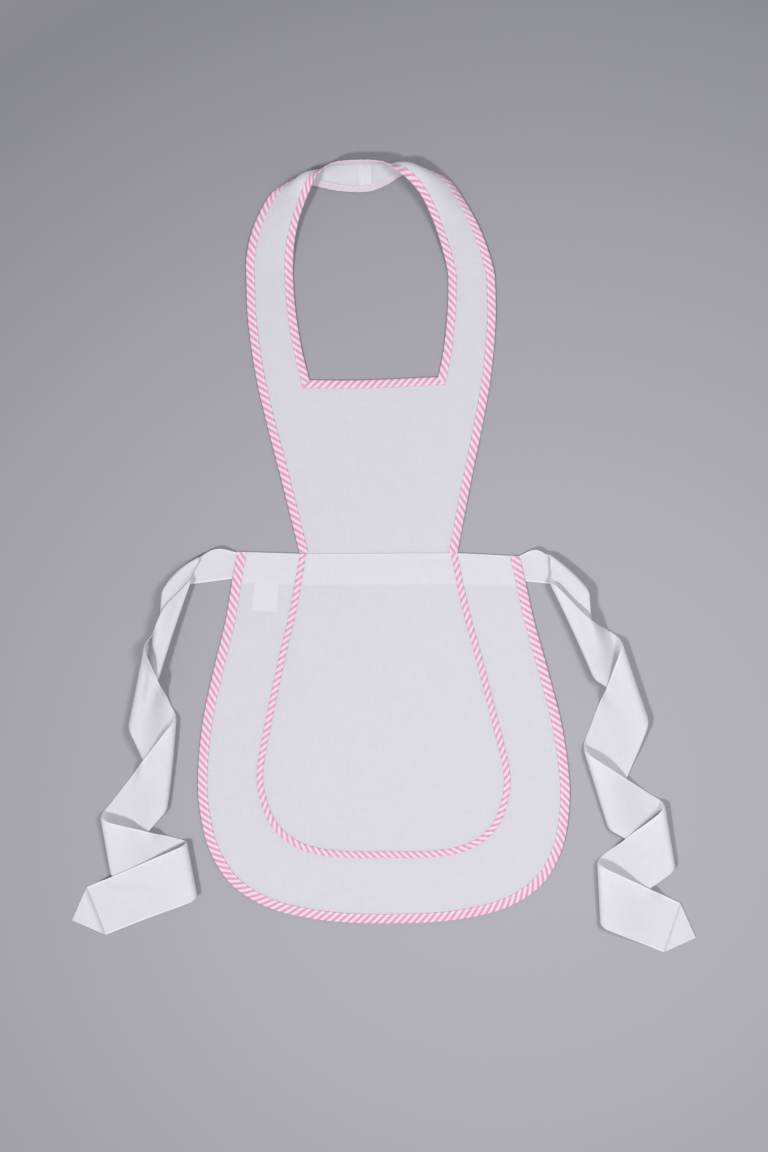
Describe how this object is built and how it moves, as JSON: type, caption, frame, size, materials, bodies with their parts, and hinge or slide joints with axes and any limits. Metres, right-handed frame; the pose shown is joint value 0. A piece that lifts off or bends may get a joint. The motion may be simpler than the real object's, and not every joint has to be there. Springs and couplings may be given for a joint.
{
  "type": "bib apron",
  "caption": "Cotton bib apron with striped bias binding, a round neck strap, a bell-shaped skirt with a U-shaped trim, and side ties, laid out flat.",
  "frame": {"origin": "middle of the waistband's back face, on the surface the apron lies on", "axes": "+X to the right seen from the front, +Y up the apron from the hem to the neck, +Z out of the front of the cloth"},
  "size_m": [0.7128, 0.9028, 0.0263],
  "materials": {
    "white_cotton": "thin ironed plain-weave cotton, slightly see-through",
    "striped_binding": "cotton bias binding with narrow pink and white slanted stripes",
    "label_satin": "thin white woven satin"
  },
  "bodies": {
    "skirt": {"skirt_panel": "white_cotton", "skirt_binding": "striped_binding", "skirt_trim": "striped_binding", "waistband": "white_cotton"},
    "care_label": {"care_label": "label_satin"},
    "bib": {"bib_panel": "white_cotton", "bib_binding_left": "striped_binding", "bib_binding_right": "striped_binding", "neckline_binding_left": "striped_binding", "neckline_binding_right": "striped_binding", "neckline_binding_bottom": "striped_binding"},
    "neck_loop": {"neck_loop_left": "white_cotton", "neck_loop_right": "white_cotton", "loop_inner_binding": "striped_binding", "loop_outer_binding": "striped_binding"},
    "tie_left": {"tie_left": "white_cotton"},
    "tie_right": {"tie_right": "white_cotton"}
  },
  "joints": [
    {"name": "bib_fold", "type": "hinge", "parent": "skirt", "child": "bib", "pos_m": [0, 0.0181, 0.0018], "axis": [1, 0, 0], "range_deg": [0, 150]},
    {"name": "neck_loop_lift", "type": "hinge", "parent": "bib", "child": "neck_loop", "pos_m": [-0.0096, 0.33515, 0.0018], "axis": [1, 0, 0], "range_deg": [0, 120]},
    {"name": "tie_left_lift", "type": "hinge", "parent": "skirt", "child": "tie_left", "pos_m": [-0.163, 0, 0.0009], "axis": [0, 1, 0], "range_deg": [0, 85]},
    {"name": "tie_right_lift", "type": "hinge", "parent": "skirt", "child": "tie_right", "pos_m": [0.164, 0, 0.0009], "axis": [0, -1, 0], "range_deg": [0, 85]},
    {"name": "care_label_flap", "type": "hinge", "parent": "skirt", "child": "care_label", "pos_m": [-0.128, -0.02, 0], "axis": [0.9962, -0.0872, 0], "range_deg": [0, 150]}
  ]
}
